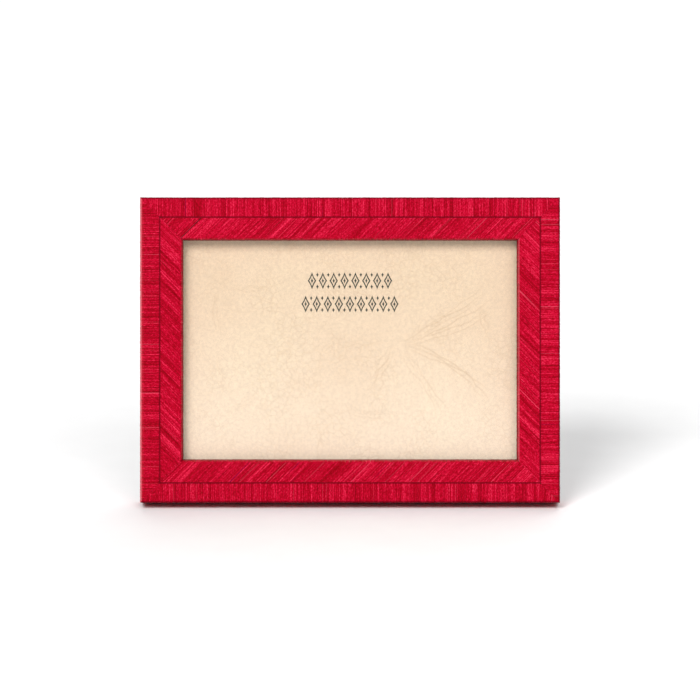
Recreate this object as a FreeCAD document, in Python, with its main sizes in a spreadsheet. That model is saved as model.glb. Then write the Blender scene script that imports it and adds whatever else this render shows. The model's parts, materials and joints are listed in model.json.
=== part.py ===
import FreeCAD, Part
import math
import os
import re

import Sketcher

# A small standing picture frame: mitred wooden rails faced with dyed straw, a glazed window with
# an insert card, a loose backing held by four turn buttons, and an easel strut on a riveted hinge.
#
# Every piece is drawn with the frame upright: X runs across, Z up from the bottom edge, the back
# of the rails is Y = 0 and the face is at negative Y. Pieces of the strut are drawn about the
# hinge axis, as if the strut were folded flat. Two placements then stand the frame on its rear
# bottom edge, leaning back on the open strut, with the origin under the middle of its box.

SIZES = {
    # frame and window
    "frame_width": 183.0,
    "frame_height": 133.0,
    "frame_depth": 14.0,
    "face_width": 18.0,
    "border_width": 8.5,
    "dark_line_width": 0.4,
    "straw_thickness": 0.5,
    "arris_radius": 0.4,
    # rebate behind the window and what fills it, from the glass back
    "rebate_inset": 14.0,
    "rebate_depth": 9.5,
    "glass_thickness": 2.0,
    "card_width": 152.4,
    "card_height": 101.6,
    "card_thickness": 0.6,
    "filler_thickness": 3.4,
    "backing_thickness": 3.1,
    "lining_thickness": 0.4,
    "pack_clearance": 0.4,
    # V nails across the mitres
    "nail_leg": 4.5,
    "nail_thickness": 0.4,
    "nail_depth": 7.0,
    "outer_nail_inset": 4.0,
    "inner_nail_inset": 8.7,
    # turn buttons and their screws
    "button_spacing": 100.0,
    "button_inset": 8.8,
    "button_boss_radius": 3.6,
    "button_tip_radius": 2.6,
    "button_reach": 8.4,
    "button_thickness": 1.0,
    "button_gap": 0.1,
    "running_clearance": 0.05,
    "screw_radius": 1.25,
    "screw_depth": 8.0,
    "screw_head_radius": 2.5,
    "screw_head_height": 1.1,
    "screw_slot_width": 0.6,
    "screw_slot_depth": 0.5,
    # strut hinge
    "hinge_height": 108.0,
    "hinge_axis_offset": 2.15,
    "hinge_width": 28.0,
    "knuckle_count": 5,
    "knuckle_radius": 1.9,
    "knuckle_gap": 0.15,
    "leaf_thickness": 0.6,
    "leaf_toe": 0.6,
    "leaf_notch": 2.2,
    "board_leaf_length": 9.5,
    "strut_leaf_length": 12.0,
    "pin_radius": 0.9,
    "pin_head_radius": 1.4,
    "pin_head_thickness": 0.5,
    # rivets
    "rivet_radius": 1.1,
    "rivet_head_radius": 2.0,
    "rivet_head_height": 0.8,
    "rivet_tail_radius": 1.7,
    "rivet_tail_height": 0.3,
    "rivet_spacing": 9.0,
    "board_rivet_height": 5.8,
    "strut_rivet_drop": 8.0,
    # strut
    "strut_top_width": 32.0,
    "strut_foot_width": 48.0,
    "strut_top_drop": 2.5,
    "strut_thickness": 3.0,
    "strut_skin": 0.3,
    "strut_corner_radius": 4.0,
    "strut_spare_length": 112.0,
    # ribbon stay between the backing and the strut
    "ribbon_width": 10.0,
    "ribbon_thickness": 0.3,
    "ribbon_tab": 6.0,
    "ribbon_board_height": 22.0,
    "ribbon_strut_drop": 80.0,
    # longer than any through cut needs
    "through_cut": 60.0,
    # how the frame stands
    "lean_angle": 14.0,
    "strut_opening": 26.6,
}

SIDES = ("top", "bottom", "left", "right")
STRAW_FRONT = "frame_depth - straw_thickness"
STRUT_OUTER = "(knuckle_radius - leaf_thickness)"
STRUT_INNER = "(knuckle_radius - leaf_thickness - strut_thickness)"
SCREW_SEAT = "(button_gap * 2 + button_thickness)"

doc = FreeCAD.newDocument("StrawFrame")


def sized(formula):
    """A formula in plain size names, as an expression on the sheet's cells."""
    return re.sub(r"[a-z_]+", lambda word: "Sizes." + word[0] if word[0] in SIZES else word[0], formula)


def number(formula):
    return float(sheet.evalExpression(sized(formula)))


def make_sheet():
    new_sheet = doc.addObject("Spreadsheet::Sheet", "Sizes")
    for row, (name, value) in enumerate(SIZES.items(), start=1):
        new_sheet.set(f"A{row}", name)
        new_sheet.set(f"B{row}", str(value))
        new_sheet.setAlias(f"B{row}", name)
    doc.recompute()
    return new_sheet


sheet = make_sheet()
pieces = []


# ---------------------------------------------------------------- drawing and feature helpers

def new_body(node, on_strut=False):
    body = doc.addObject("PartDesign::Body", node)
    body.Label = node
    pieces.append((body, on_strut))
    return body


def new_sketch(body, plane_role, offset="0", across="0"):
    """A sketch on an origin plane, moved along its normal: XZ faces forward, YZ right and XY up."""
    sketch = body.newObject("Sketcher::SketchObject", "Outline")
    plane = next(item for item in body.Origin.OriginFeatures if item.Role == plane_role)
    sketch.AttachmentSupport = [(plane, "")]
    sketch.MapMode = "FlatFace"
    sketch.setExpression("AttachmentOffset.Base.x", sized(across))
    sketch.setExpression("AttachmentOffset.Base.z", sized(offset))
    return sketch


def pin_point(sketch, geometry, point, across, up):
    """Hold one point of a sketch at two distances from the sketch's origin."""
    for kind, formula in (("DistanceX", across), ("DistanceY", up)):
        place = sketch.addConstraint(Sketcher.Constraint(kind, -1, 1, geometry, point, number(formula)))
        sketch.setExpression(f"Constraints[{place}]", sized(formula))


def set_radius(sketch, geometry, radius):
    place = sketch.addConstraint(Sketcher.Constraint("Radius", geometry, number(radius)))
    sketch.setExpression(f"Constraints[{place}]", sized(radius))


def draw_polygon(sketch, corners):
    first = sketch.GeometryCount
    places = [FreeCAD.Vector(number(across), number(up), 0) for across, up in corners]
    count = len(places)
    for index in range(count):
        line = Part.LineSegment(places[index], places[(index + 1) % count])
        sketch.addGeometry(line, False)
    for index in range(count):
        following = (index + 1) % count
        sketch.addConstraint(Sketcher.Constraint("Coincident", first + index, 2, first + following, 1))
    for index, (across, up) in enumerate(corners):
        pin_point(sketch, first + index, 1, across, up)


def draw_rectangle(sketch, left, right, low, high):
    draw_polygon(sketch, [(left, low), (right, low), (right, high), (left, high)])


def draw_circle(sketch, across, up, radius):
    centre = FreeCAD.Vector(number(across), number(up), 0)
    circle = sketch.addGeometry(Part.Circle(centre, FreeCAD.Vector(0, 0, 1), number(radius)), False)
    pin_point(sketch, circle, 3, across, up)
    set_radius(sketch, circle, radius)


def pad(body, sketch, length, symmetric=False):
    feature = body.newObject("PartDesign::Pad", "Pad")
    feature.Profile = sketch
    feature.setExpression("Length", sized(length))
    if symmetric:
        feature.SideType = "Symmetric"
    doc.recompute()
    return feature


def pocket(body, sketch, length, forward=False, both_ways=False):
    """Cut from a sketch against its normal, forward along it, or both ways."""
    before = body.Shape.Volume
    feature = body.newObject("PartDesign::Pocket", "Pocket")
    feature.Profile = sketch
    feature.setExpression("Length", sized(length))
    if both_ways:
        feature.SideType = "Symmetric"
    else:
        feature.Reversed = forward
    doc.recompute()
    if body.Shape.Volume >= before:
        raise RuntimeError(f"{body.Label}: a pocket removed nothing")
    return feature


def cut_through(body, sketch):
    return pocket(body, sketch, "through_cut", both_ways=True)


def revolve(body, sketch):
    """Turn a half section about the sketch's upright axis."""
    feature = body.newObject("PartDesign::Revolution", "Revolution")
    feature.Profile = sketch
    feature.ReferenceAxis = (sketch, ["V_Axis"])
    feature.Angle = 360.0
    doc.recompute()
    return feature


def round_edges(body, feature, radius, wanted):
    """Fillet the edges of a feature whose middle point and direction pass a test."""
    names = []
    for index, edge in enumerate(feature.Shape.Edges, start=1):
        middle = edge.CenterOfMass
        run = edge.lastVertex().Point.sub(edge.firstVertex().Point)
        if run.Length > 0 and wanted(middle, run.normalize()):
            names.append(f"Edge{index}")
    fillet = body.newObject("PartDesign::Fillet", "Fillet")
    fillet.Base = (feature, names)
    fillet.setExpression("Radius", sized(radius))
    doc.recompute()


# ---------------------------------------------------------------- rails and straw

def band(side, outer, inner):
    """Corners of a mitred strip along one side, between two distances in from the frame's edge."""
    across = [f"(frame_width / 2 - ({inset}))" for inset in (outer, inner)]
    low = [f"({inset})" for inset in (outer, inner)]
    high = [f"(frame_height - ({inset}))" for inset in (outer, inner)]
    if side in ("top", "bottom"):
        level = high if side == "top" else low
        return [
            ("-" + across[0], level[0]),
            (across[0], level[0]),
            (across[1], level[1]),
            ("-" + across[1], level[1]),
        ]
    sign = "-" if side == "left" else ""
    return [
        (sign + across[0], low[0]),
        (sign + across[0], high[0]),
        (sign + across[1], high[1]),
        (sign + across[1], low[1]),
    ]


def strip(node, side, outer, inner, start, thickness):
    """A mitred strip, from a distance in front of the back plane and on towards the face."""
    body = new_body(node)
    sketch = new_sketch(body, "XZ_Plane", start)
    draw_polygon(sketch, band(side, outer, inner))
    return body, pad(body, sketch, thickness)


def button_places():
    """Name, X and Z of each turn button's pivot, and which way its tongue points at rest."""
    for row, height, towards in (
        ("top", "(frame_height - button_inset)", -1),
        ("bottom", "(button_inset)", 1),
    ):
        for column, across in (("left", "(-button_spacing / 2)"), ("right", "(button_spacing / 2)")):
            yield f"turn_button_{row}_{column}", across, height, towards


def make_rail(side):
    """A rail of the core, rebated at the back and drilled for its turn buttons' screws."""
    body, _ = strip(f"rail_{side}", side, "straw_thickness", "face_width - straw_thickness", "0", STRAW_FRONT)
    rebate = new_sketch(body, "XZ_Plane")
    draw_polygon(rebate, band(side, "rebate_inset", "face_width"))
    pocket(body, rebate, "rebate_depth", forward=True)
    if side in ("top", "bottom"):
        pilots = new_sketch(body, "XZ_Plane")
        for node, across, height, _ in button_places():
            if side in node:
                draw_circle(pilots, across, height, "screw_radius")
        pocket(body, pilots, "screw_depth", forward=True)


def outer_front_edge(side):
    """A test for the long edge of a border strip that runs round the outside of the face."""
    front = -number("frame_depth")
    limit = {
        "top": ("z", number("frame_height")),
        "bottom": ("z", 0.0),
        "left": ("x", -number("frame_width / 2")),
        "right": ("x", number("frame_width / 2")),
    }[side]

    def wanted(middle, _):
        return abs(middle.y - front) < 0.01 and abs(getattr(middle, limit[0]) - limit[1]) < 0.01

    return wanted


def make_straw(side):
    """The straw on one side: crossbanded border, dark line, slanted inner band, edge and reveal."""
    line_end = "border_width + dark_line_width"
    reveal_start = "face_width - straw_thickness"
    border, face = strip(f"border_straw_{side}", side, "0", "border_width", STRAW_FRONT, "straw_thickness")
    round_edges(border, face, "arris_radius", outer_front_edge(side))
    strip(f"dark_line_{side}", side, "border_width", line_end, STRAW_FRONT, "straw_thickness")
    strip(f"inner_straw_{side}", side, line_end, "face_width", STRAW_FRONT, "straw_thickness")
    strip(f"edge_straw_{side}", side, "0", "straw_thickness", "0", STRAW_FRONT)
    reveal_depth = f"{STRAW_FRONT} - rebate_depth"
    strip(f"sight_straw_{side}", side, reveal_start, "face_width", "rebate_depth", reveal_depth)


def make_corner_nails():
    """Two V nails across each mitre, driven in from the back."""
    body = new_body("corner_v_nails")
    sketch = new_sketch(body, "XZ_Plane")
    for side_sign in ("-", ""):
        for low in (True, False):
            for inset in ("outer_nail_inset", "inner_nail_inset"):
                tip = f"{inset} + nail_leg"
                heel = f"{inset} + nail_thickness"
                steps = [(inset, inset), (tip, inset), (tip, heel), (heel, heel), (heel, tip), (inset, tip)]
                corners = []
                for along, up in steps:
                    height = f"({up})" if low else f"(frame_height - ({up}))"
                    corners.append((f"{side_sign}(frame_width / 2 - ({along}))", height))
                draw_polygon(sketch, corners)
    pad(body, sketch, "nail_depth")


# ---------------------------------------------------------------- what fills the rebate

def draw_panel(sketch, width, height):
    """A rectangle centred on the window."""
    middle = "(frame_height / 2)"
    draw_rectangle(
        sketch,
        f"-({width}) / 2",
        f"({width}) / 2",
        f"{middle} - ({height}) / 2",
        f"{middle} + ({height}) / 2",
    )


def make_panel(node, width, height, start, thickness):
    body = new_body(node)
    sketch = new_sketch(body, "XZ_Plane", start)
    draw_panel(sketch, width, height)
    pad(body, sketch, thickness)
    return body


def rivet_row(sketch, height, radius):
    """Three circles in a row, for the rivets or their holes."""
    for place in ("-rivet_spacing", "0", "rivet_spacing"):
        draw_circle(sketch, place, height, radius)


def make_picture_pack():
    """Glass, insert card, filler and backing, filling the rebate from its lip to the back plane."""
    pack_width = "frame_width - 2 * rebate_inset - 2 * pack_clearance"
    pack_height = "frame_height - 2 * rebate_inset - 2 * pack_clearance"
    rivet_level = "hinge_height + board_rivet_height"
    glass_back = "rebate_depth - glass_thickness"
    card_back = f"{glass_back} - card_thickness"
    filler_back = f"{card_back} - filler_thickness"
    make_panel("glass_pane", pack_width, pack_height, glass_back, "glass_thickness")
    make_panel("insert_card", "card_width", "card_height", card_back, "card_thickness")
    make_panel("filler_board", pack_width, pack_height, filler_back, "filler_thickness")

    backing = make_panel("backing_board", pack_width, pack_height, "lining_thickness", "backing_thickness")
    holes = new_sketch(backing, "XZ_Plane")
    rivet_row(holes, rivet_level, "rivet_radius")
    cut_through(backing, holes)
    recesses = new_sketch(backing, "XZ_Plane", filler_back)
    rivet_row(recesses, rivet_level, "rivet_tail_radius")
    pocket(backing, recesses, "rivet_tail_height")

    lining = make_panel("board_lining", pack_width, pack_height, "0", "lining_thickness")
    lining_holes = new_sketch(lining, "XZ_Plane")
    rivet_row(lining_holes, rivet_level, "rivet_radius")
    cut_through(lining, lining_holes)


# ---------------------------------------------------------------- turn buttons

def draw_button(sketch, across, height, towards):
    """A tapered tongue: a round boss on the screw and a smaller round tip."""
    sign = "-" if towards < 0 else "+"
    tip_height = f"{height} {sign} (button_reach - button_tip_radius)"
    boss = number("button_boss_radius")
    tip = number("button_tip_radius")
    x, z = number(across), number(height)
    tip_z = number(tip_height)
    lean = math.asin((boss - tip) / abs(tip_z - z))
    swing = math.pi / 2 * towards
    up_axis = FreeCAD.Vector(0, 0, 1)
    boss_circle = Part.Circle(FreeCAD.Vector(x, z, 0), up_axis, boss)
    tip_circle = Part.Circle(FreeCAD.Vector(x, tip_z, 0), up_axis, tip)
    away = swing + math.pi / 2 - lean
    back = swing - math.pi / 2 + lean
    boss_arc = sketch.addGeometry(Part.ArcOfCircle(boss_circle, away, back + 2 * math.pi), False)
    tip_arc = sketch.addGeometry(Part.ArcOfCircle(tip_circle, back, away), False)
    flanks = []
    for angle in (away, back):
        offset = FreeCAD.Vector(math.cos(angle), math.sin(angle), 0)
        start = FreeCAD.Vector(x, z, 0) + offset * boss
        end = FreeCAD.Vector(x, tip_z, 0) + offset * tip
        flanks.append(sketch.addGeometry(Part.LineSegment(start, end), False))
    for flank, boss_end, tip_end in ((flanks[0], 1, 2), (flanks[1], 2, 1)):
        sketch.addConstraint(Sketcher.Constraint("Tangent", boss_arc, boss_end, flank, 1))
        sketch.addConstraint(Sketcher.Constraint("Tangent", tip_arc, tip_end, flank, 2))
    pin_point(sketch, boss_arc, 3, across, height)
    pin_point(sketch, tip_arc, 3, across, tip_height)
    set_radius(sketch, boss_arc, "button_boss_radius")
    set_radius(sketch, tip_arc, "button_tip_radius")


def make_turn_buttons():
    """Brass tongues that swivel over the edge of the backing, just clear of the rails."""
    for node, across, height, towards in button_places():
        body = new_body(node)
        outline = new_sketch(body, "XZ_Plane", "-button_gap - button_thickness")
        draw_button(outline, across, height, towards)
        pad(body, outline, "button_thickness")
        hole = new_sketch(body, "XZ_Plane")
        draw_circle(hole, across, height, "screw_radius + running_clearance")
        cut_through(body, hole)


def make_button_screws():
    """Four dome-headed screws, one through each turn button into the rail."""
    body = new_body("turn_button_screws")
    section = new_sketch(body, "XY_Plane", "button_inset", "-button_spacing / 2")
    chamfer = "(screw_head_height / 2)"
    draw_polygon(section, [
        ("0", "-screw_depth"),
        ("screw_radius", "-screw_depth + screw_radius"),
        ("screw_radius", SCREW_SEAT),
        ("screw_head_radius", SCREW_SEAT),
        ("screw_head_radius", f"{SCREW_SEAT} + {chamfer}"),
        (f"screw_head_radius - {chamfer}", f"{SCREW_SEAT} + screw_head_height"),
        ("0", f"{SCREW_SEAT} + screw_head_height"),
    ])
    revolution = revolve(body, section)
    slot = new_sketch(body, "XZ_Plane", f"-{SCREW_SEAT} - screw_head_height")
    draw_rectangle(
        slot,
        "-button_spacing / 2 - 2 * screw_head_radius",
        "-button_spacing / 2 + 2 * screw_head_radius",
        "button_inset - screw_slot_width / 2",
        "button_inset + screw_slot_width / 2",
    )
    cut = pocket(body, slot, "screw_slot_depth", forward=True)
    rows = body.newObject("PartDesign::LinearPattern", "Rows")
    rows.Originals = [revolution, cut]
    rows.Direction = (slot, ["H_Axis"])
    rows.setExpression("Length", sized("button_spacing"))
    rows.Occurrences = 2
    rows.Direction2 = (slot, ["V_Axis"])
    rows.setExpression("Length2", sized("frame_height - 2 * button_inset"))
    rows.Occurrences2 = 2
    body.Tip = rows
    doc.recompute()


# ---------------------------------------------------------------- strut hinge

def make_leaf(node, on_strut):
    """A hinge leaf: a flat plate with rolled knuckles, notched for the other leaf's knuckles."""
    body = new_body(node, on_strut)
    section = new_sketch(body, "YZ_Plane")
    if on_strut:
        axis_y, axis_z = "0", "0"
        draw_rectangle(section, STRUT_OUTER, "knuckle_radius", "-strut_leaf_length", "leaf_toe")
    else:
        axis_y, axis_z = "hinge_axis_offset", "hinge_height"
        top = "hinge_height + board_leaf_length"
        draw_rectangle(section, "0", "leaf_thickness", "hinge_height - leaf_toe", top)
    pad(body, section, "hinge_width", symmetric=True)
    barrel = new_sketch(body, "YZ_Plane")
    draw_circle(barrel, axis_y, axis_z, "knuckle_radius")
    pad(body, barrel, "hinge_width", symmetric=True)
    bore = new_sketch(body, "YZ_Plane")
    draw_circle(bore, axis_y, axis_z, "pin_radius + running_clearance")
    cut_through(body, bore)

    low, high = f"{axis_z} - leaf_notch", f"{axis_z} + leaf_notch"
    pitch = "hinge_width / knuckle_count"
    notches = new_sketch(body, "XZ_Plane")
    for position in range(SIZES["knuckle_count"]):
        if position % 2 == int(on_strut):
            continue
        start = f"({position} * {pitch} - hinge_width / 2 - knuckle_gap / 2)"
        end = f"({position + 1} * {pitch} - hinge_width / 2 + knuckle_gap / 2)"
        draw_rectangle(notches, start, end, low, high)
    cut_through(body, notches)

    rivet_level = "-strut_rivet_drop" if on_strut else "hinge_height + board_rivet_height"
    holes = new_sketch(body, "XZ_Plane")
    rivet_row(holes, rivet_level, "rivet_radius")
    cut_through(body, holes)


def make_hinge_pin():
    """The hinge's wire pin, headed at both ends against the outer knuckles."""
    body = new_body("hinge_pin")
    wire = new_sketch(body, "YZ_Plane")
    draw_circle(wire, "hinge_axis_offset", "hinge_height", "pin_radius")
    pad(body, wire, "hinge_width", symmetric=True)
    for start in ("hinge_width / 2", "-hinge_width / 2 - pin_head_thickness"):
        head = new_sketch(body, "YZ_Plane", start)
        draw_circle(head, "hinge_axis_offset", "hinge_height", "pin_head_radius")
        pad(body, head, "pin_head_thickness")


def make_rivets(node, on_strut, level, tail, head_seat):
    """Three domed rivets, clinched flat at the far side of what they hold."""
    body = new_body(node, on_strut)
    section = new_sketch(body, "XY_Plane", level, "-rivet_spacing")
    bevel = "rivet_head_height / 2"
    draw_polygon(section, [
        ("0", tail),
        ("rivet_tail_radius", tail),
        ("rivet_tail_radius", f"{tail} + rivet_tail_height"),
        ("rivet_radius", f"{tail} + rivet_tail_height"),
        ("rivet_radius", head_seat),
        ("rivet_head_radius", head_seat),
        ("rivet_head_radius", f"{head_seat} + {bevel}"),
        ("rivet_head_radius - rivet_head_height", f"{head_seat} + rivet_head_height"),
        ("0", f"{head_seat} + rivet_head_height"),
    ])
    revolution = revolve(body, section)
    row = body.newObject("PartDesign::LinearPattern", "Row")
    row.Originals = [revolution]
    row.Direction = (section, ["H_Axis"])
    row.setExpression("Length", sized("2 * rivet_spacing"))
    row.Occurrences = 3
    body.Tip = row
    doc.recompute()


# ---------------------------------------------------------------- strut and ribbon

def foot_reach(offset):
    """How far below the hinge axis the floor cuts the strut, at an offset from the axis plane."""
    tilt = "(strut_opening - lean_angle)"
    drop = "(hinge_height * cos(lean_angle) - hinge_axis_offset * sin(lean_angle)"
    return f"{drop} + ({offset}) * sin{tilt}) / cos{tilt}"


def make_strut_layer(node, inner, outer):
    """One layer of the strut: a tapered board, wider at the foot, cut to sit flat on the floor."""
    body = new_body(node, on_strut=True)
    sketch = new_sketch(body, "XZ_Plane", f"-({outer})")
    draw_polygon(sketch, [
        ("-strut_top_width / 2", "-strut_top_drop"),
        ("strut_top_width / 2", "-strut_top_drop"),
        ("strut_foot_width / 2", "-strut_spare_length"),
        ("-strut_foot_width / 2", "-strut_spare_length"),
    ])
    board = pad(body, sketch, f"({outer}) - ({inner})")
    top = -number("strut_top_drop")

    def top_corner(middle, run):
        return abs(middle.z - top) < 0.01 and abs(run.y) > 0.99

    round_edges(body, board, "strut_corner_radius", top_corner)
    floor_cut = new_sketch(body, "YZ_Plane")
    near, far = "-strut_thickness", "strut_thickness"
    draw_polygon(floor_cut, [
        (near, f"-({foot_reach(near)})"),
        (near, "-2 * strut_spare_length"),
        (far, "-2 * strut_spare_length"),
        (far, f"-({foot_reach(far)})"),
    ])
    cut_through(body, floor_cut)
    holes = new_sketch(body, "XZ_Plane")
    rivet_row(holes, "-strut_rivet_drop", "rivet_radius")
    cut_through(body, holes)


def make_strut():
    core_inner = f"{STRUT_INNER} + strut_skin"
    core_outer = f"{STRUT_OUTER} - strut_skin"
    make_strut_layer("strut_board", core_inner, core_outer)
    make_strut_layer("strut_front_lining", STRUT_INNER, core_inner)
    make_strut_layer("strut_back_lining", core_outer, STRUT_OUTER)


def on_open_strut(drop, offset):
    """Y and Z, with the frame upright, of a point of the open strut."""
    y = f"(hinge_axis_offset + ({drop}) * sin(strut_opening) + ({offset}) * cos(strut_opening))"
    z = f"(hinge_height - ({drop}) * cos(strut_opening) + ({offset}) * sin(strut_opening))"
    return y, z


def make_ribbon():
    """A ribbon with a tab glued to the backing and a tab glued to the strut's inner face."""
    body = new_body("ribbon_stay")
    sketch = new_sketch(body, "YZ_Plane")
    inner_skin = f"{STRUT_INNER} - ribbon_thickness"
    drop = "ribbon_strut_drop"
    draw_polygon(sketch, [
        ("0", "ribbon_board_height - ribbon_tab"),
        ("ribbon_thickness", "ribbon_board_height - ribbon_tab"),
        ("ribbon_thickness", "ribbon_board_height - ribbon_thickness"),
        on_open_strut(drop, STRUT_INNER),
        on_open_strut(f"{drop} - ribbon_tab", STRUT_INNER),
        on_open_strut(f"{drop} - ribbon_tab", inner_skin),
        on_open_strut(f"{drop} - ribbon_thickness", inner_skin),
        ("0", "ribbon_board_height"),
    ])
    pad(body, sketch, "ribbon_width", symmetric=True)


# ---------------------------------------------------------------- standing the frame up

def frame_placement():
    """Lean the upright frame back about its rear bottom edge and centre its box on the origin."""
    lean = math.radians(number("lean_angle"))
    tilt = math.radians(number("strut_opening - lean_angle"))
    outer = number(STRUT_OUTER)
    axis_y = number("hinge_axis_offset") * math.cos(lean) + number("hinge_height") * math.sin(lean)
    foot_back = axis_y + number(foot_reach(STRUT_OUTER)) * math.sin(tilt) + outer * math.cos(tilt)
    face_front = -number("frame_depth") * math.cos(lean)
    shift = FreeCAD.Vector(0, -(foot_back + face_front) / 2, 0)
    return FreeCAD.Placement(shift, FreeCAD.Rotation(FreeCAD.Vector(1, 0, 0), -math.degrees(lean)))


def strut_placement(standing):
    """The strut swung open about its hinge, then carried by the frame."""
    hinge = FreeCAD.Vector(0, number("hinge_axis_offset"), number("hinge_height"))
    swing = FreeCAD.Rotation(FreeCAD.Vector(1, 0, 0), number("strut_opening"))
    return standing.multiply(FreeCAD.Placement(hinge, swing))


def stand_pieces():
    standing = frame_placement()
    opened = strut_placement(standing)
    for body, on_strut in pieces:
        body.Placement = opened if on_strut else standing
    doc.recompute()


def check_document():
    for item in doc.Objects:
        if "Invalid" in item.State or "Error" in item.State:
            raise RuntimeError(f"{item.Label} failed: {item.State}")
    for body, _ in pieces:
        if body.Shape.isNull() or not body.Shape.isValid():
            raise RuntimeError(f"{body.Label} has no valid shape")


def write_pieces():
    os.makedirs("parts", exist_ok=True)
    for body, _ in pieces:
        body.Shape.exportStep(f"parts/{body.Label}.step")


for frame_side in SIDES:
    make_rail(frame_side)
    make_straw(frame_side)
make_corner_nails()
make_picture_pack()
make_turn_buttons()
make_button_screws()
make_leaf("hinge_leaf_board", on_strut=False)
make_leaf("hinge_leaf_strut", on_strut=True)
make_hinge_pin()
make_rivets(
    "board_rivets",
    False,
    "hinge_height + board_rivet_height",
    "-lining_thickness - backing_thickness",
    "leaf_thickness",
)
make_rivets(
    "strut_rivets",
    True,
    "-strut_rivet_drop",
    f"{STRUT_INNER} - rivet_tail_height",
    "knuckle_radius",
)
make_strut()
make_ribbon()
stand_pieces()
check_document()
write_pieces()
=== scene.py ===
import json
import math
import random
from collections import namedtuple

import bmesh
import bpy
import numpy as np
from mathutils import Matrix, Vector, noise


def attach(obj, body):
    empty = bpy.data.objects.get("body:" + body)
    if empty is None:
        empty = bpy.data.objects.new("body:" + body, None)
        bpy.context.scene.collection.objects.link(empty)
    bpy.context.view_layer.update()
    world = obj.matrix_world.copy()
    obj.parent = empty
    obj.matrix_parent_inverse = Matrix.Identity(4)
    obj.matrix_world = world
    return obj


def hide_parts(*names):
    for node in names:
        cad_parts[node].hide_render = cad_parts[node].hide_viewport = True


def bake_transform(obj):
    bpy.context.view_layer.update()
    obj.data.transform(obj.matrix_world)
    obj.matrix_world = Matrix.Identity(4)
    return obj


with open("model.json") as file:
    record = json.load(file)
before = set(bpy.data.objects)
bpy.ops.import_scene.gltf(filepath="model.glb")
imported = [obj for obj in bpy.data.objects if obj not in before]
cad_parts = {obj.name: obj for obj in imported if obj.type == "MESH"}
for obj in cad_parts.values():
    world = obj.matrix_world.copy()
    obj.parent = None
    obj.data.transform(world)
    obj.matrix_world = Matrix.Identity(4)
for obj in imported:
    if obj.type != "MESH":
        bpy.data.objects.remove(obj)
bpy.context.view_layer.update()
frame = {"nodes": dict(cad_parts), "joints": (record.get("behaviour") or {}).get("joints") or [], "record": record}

MM = 0.001
SIDES = ("top", "bottom", "left", "right")


# ---------------------------------------------------------------- where things are

record = frame["record"]
mounts = {mount["name"]: mount for mount in record["mounts"]}
joints = {joint["name"]: joint for joint in frame["joints"]}

# The frame leans back. "Upright" axes lean with it: X across, Y out of the back, Z up the frame,
# from the middle of the rear bottom edge. "Folded" axes swing with the strut about its hinge.
BACKWARD = Vector(joints["button_top_left_turn"]["axis"]).normalized()
UP_THE_FRAME = Vector((0.0, -BACKWARD.z, BACKWARD.y))
LEAN = math.atan2(UP_THE_FRAME.y, UP_THE_FRAME.z)
OPENING = math.radians(joints["strut_fold"]["range_deg"][1])
HINGE = Vector(joints["strut_fold"]["pos_m"])
lean_turn = Matrix.Rotation(-LEAN, 4, "X")
upright = Matrix.Translation(Vector(mounts["bottom_edge"]["pos_m"])) @ lean_turn
folded = Matrix.Translation(HINGE) @ lean_turn @ Matrix.Rotation(OPENING, 4, "X")


def measure(node, axes=upright):
    """Lowest and highest corner of a CAD node, measured square to the given axes."""
    into = axes.inverted()
    points = np.array([into @ vertex.co for vertex in frame["nodes"][node].data.vertices])
    return Vector(points.min(axis=0)), Vector(points.max(axis=0))


WIDTH = 2 * measure("edge_straw_right")[1].x
HEIGHT = measure("edge_straw_top")[1].z
DEPTH = -measure("border_straw_top")[0].y
BORDER = HEIGHT - measure("border_straw_top")[0].z
LINE = HEIGHT - measure("dark_line_top")[0].z
FACE = HEIGHT - measure("inner_straw_top")[0].z
STRAW = DEPTH + measure("border_straw_top")[1].y
REVEAL = -measure("sight_straw_top")[1].y
OUTER_ARRIS = 0.9 * MM
SIGHT_ARRIS = 0.4 * MM
RAKE = 0.7 * MM
MITRE_GAP = 0.03 * MM
LINE_GAP = 0.03 * MM
RIVET_HEAD = 0.8 * MM
# The middle of each side's spread of straw tones. A lower one is darker.
TONES = {"top": 0.54, "bottom": 0.5, "left": 0.32, "right": 0.54}


def on_side(side, along, inset, forward):
    """A point of one rail: along it from its middle, in from the outer edge, forward of the back."""
    if side in ("top", "bottom"):
        level = inset if side == "bottom" else HEIGHT - inset
        return Vector((along, -forward, level))
    across = inset - WIDTH / 2 if side == "left" else WIDTH / 2 - inset
    return Vector((across, -forward, HEIGHT / 2 + along))


def half_length(side):
    return (WIDTH if side in ("top", "bottom") else HEIGHT) / 2


# ---------------------------------------------------------------- materials

def dye(red, green, blue):
    """A colour given as it looks on a screen, as linear light with full alpha."""
    parts = []
    for value in (red, green, blue):
        part = value / 255
        parts.append(part / 12.92 if part <= 0.04045 else ((part + 0.055) / 1.055) ** 2.4)
    return (*parts, 1.0)


class Wire:
    """One socket of a finish, with arithmetic on values that adds its Math nodes."""

    def __init__(self, finish, socket):
        self.finish = finish
        self.socket = socket

    def math(self, operation, first, second=0.0):
        return self.finish.node("ShaderNodeMath", {"operation": operation}, {0: first, 1: second})

    def __add__(self, other):
        return self.math("ADD", self, other)

    def __radd__(self, other):
        return self.math("ADD", other, self)

    def __sub__(self, other):
        return self.math("SUBTRACT", self, other)

    def __rsub__(self, other):
        return self.math("SUBTRACT", other, self)

    def __mul__(self, other):
        return self.math("MULTIPLY", self, other)

    def __rmul__(self, other):
        return self.math("MULTIPLY", other, self)

    def __pow__(self, other):
        return self.math("POWER", self, other)

    def between(self, low, high):
        """0 below low, 1 above high and an eased step from one to the other."""
        sockets = {"Value": self, "From Min": low, "From Max": high}
        return self.finish.node("ShaderNodeMapRange", {"interpolation_type": "SMOOTHSTEP"}, sockets)


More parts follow.
